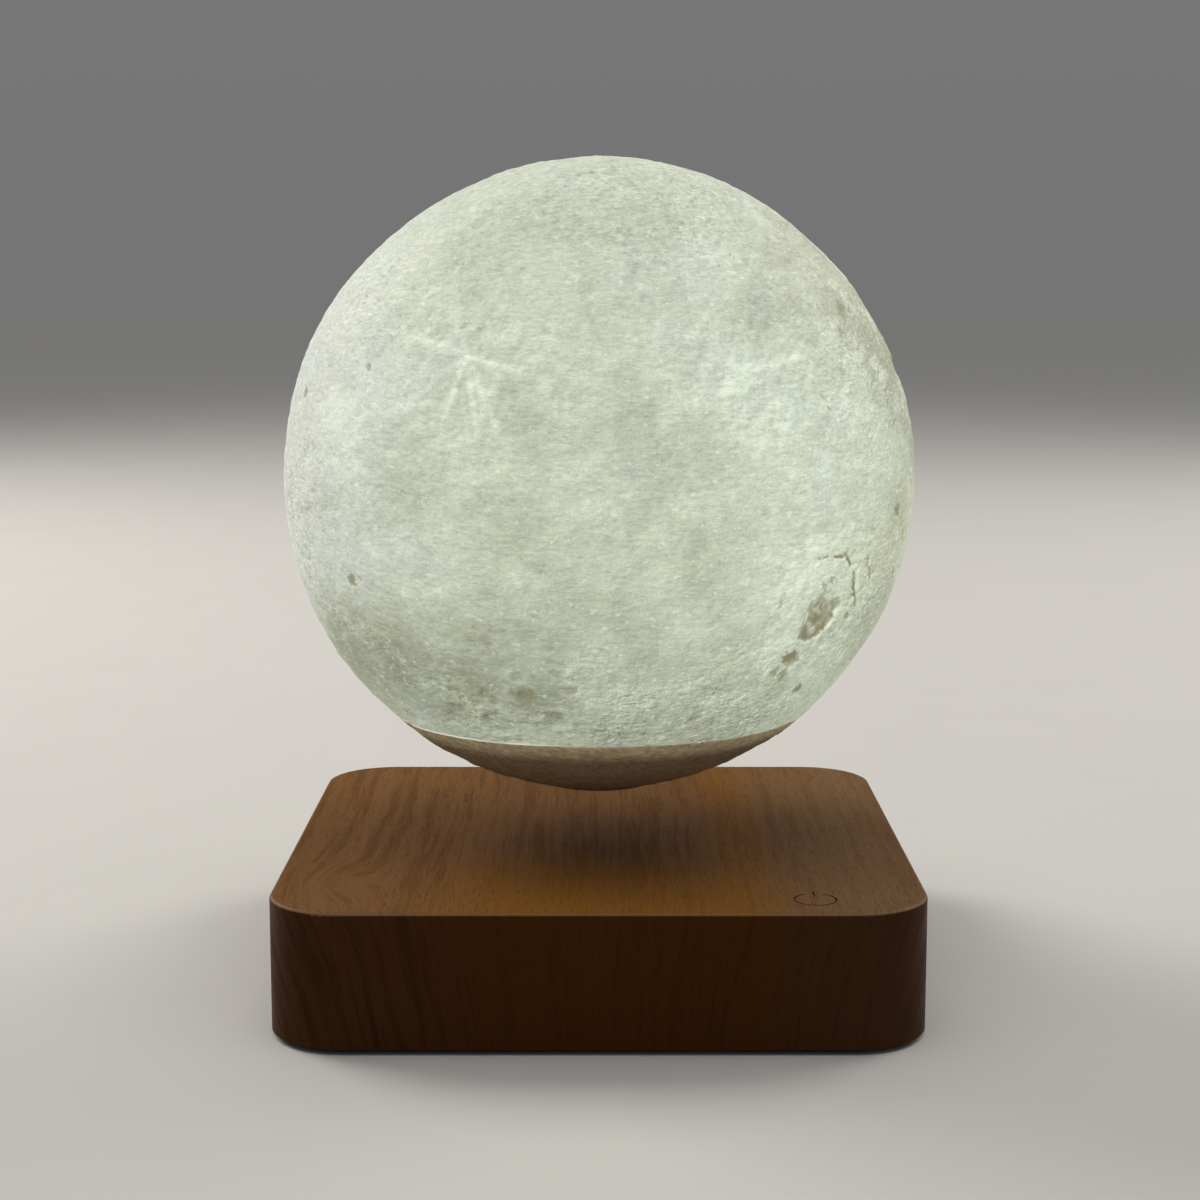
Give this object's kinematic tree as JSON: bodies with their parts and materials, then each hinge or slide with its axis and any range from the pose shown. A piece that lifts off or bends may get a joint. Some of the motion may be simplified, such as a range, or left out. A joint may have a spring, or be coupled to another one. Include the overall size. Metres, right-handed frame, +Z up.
{
  "type": "levitating moon lamp",
  "caption": "Lit moon globe with a closing cap, floating on magnets above a square wooden base with an engraved touch key.",
  "frame": {"origin": "on the table, under the middle of the square base", "axes": "+Z up, through the middle of the base and of the globe; the front of the base, with the touch key, faces -Y"},
  "size_m": [0.15, 0.15, 0.1944],
  "materials": {
    "wood": "satin",
    "black_plastic": "matte",
    "screw_steel": "satin",
    "rubber": "matte",
    "circuit_board": "satin",
    "capacitor_can": "satin",
    "ferrite": "matte",
    "chip_plastic": "matte",
    "connector_plastic": "satin",
    "ring_magnet": "matte",
    "bobbin_plastic": "satin",
    "copper_wire": "gloss",
    "copper_foil": "satin",
    "core_iron": "satin",
    "lead_cover": "satin",
    "inlet_plastic": "satin",
    "brass_pin": "gloss",
    "nickel": "gloss",
    "globe_print": "matte",
    "cap_print": "matte",
    "white_board": "satin",
    "lamp_lens": "gloss"
  },
  "bodies": {
    "base": {"base_case": "wood", "bottom_plate": "black_plastic", "plate_screws": "screw_steel", "foot_front_left": "rubber", "foot_front_right": "rubber", "foot_rear_left": "rubber", "foot_rear_right": "rubber", "control_board": "circuit_board", "capacitors": "capacitor_can", "choke_coil": "ferrite", "driver_chips": "chip_plastic", "controller_chip": "chip_plastic", "power_connector": "connector_plastic", "touch_connector": "connector_plastic", "magnet_tray": "black_plastic", "ring_magnet": "ring_magnet", "module_cover": "black_plastic", "module_screws": "screw_steel", "bobbin_front": "bobbin_plastic", "bobbin_right": "bobbin_plastic", "bobbin_rear": "bobbin_plastic", "bobbin_left": "bobbin_plastic", "winding_front": "copper_wire", "winding_right": "copper_wire", "winding_rear": "copper_wire", "winding_left": "copper_wire", "core_front": "core_iron", "core_right": "core_iron", "core_rear": "core_iron", "core_left": "core_iron", "sensor_board": "circuit_board", "hall_sensors": "chip_plastic", "sensor_header": "chip_plastic", "send_coil": "copper_wire", "send_leads": "copper_wire", "touch_pad": "copper_foil", "touch_board": "circuit_board", "touch_chip": "chip_plastic", "touch_leads": "lead_cover", "inlet_body": "inlet_plastic", "inlet_pin": "brass_pin", "inlet_nut": "nickel", "inlet_tags": "nickel", "power_leads": "lead_cover"},
    "float": {"float_magnet": "nickel", "float_foot": "cap_print"},
    "moon": {"globe_shell": "globe_print", "bottom_cap": "cap_print", "receive_coil": "copper_wire", "receive_leads": "copper_wire", "receiver_board": "circuit_board", "receiver_parts": "chip_plastic", "receiver_screws": "screw_steel", "standoffs": "brass_pin", "light_board": "white_board", "lamps": "lamp_lens", "light_screws": "screw_steel", "light_leads": "lead_cover"}
  },
  "joints": [
    {"name": "moon_lift", "type": "slide", "parent": "base", "child": "float", "axis": [0, 0, 1], "range_m": [-0.0127, 0.04], "stiffness_N_per_m": 69.75, "springref_m": 0.04},
    {"name": "moon_spin", "type": "hinge", "parent": "float", "child": "moon", "pos_m": [0, 0, 0.1194], "axis": [0, 0, 1], "continuous": true}
  ]
}
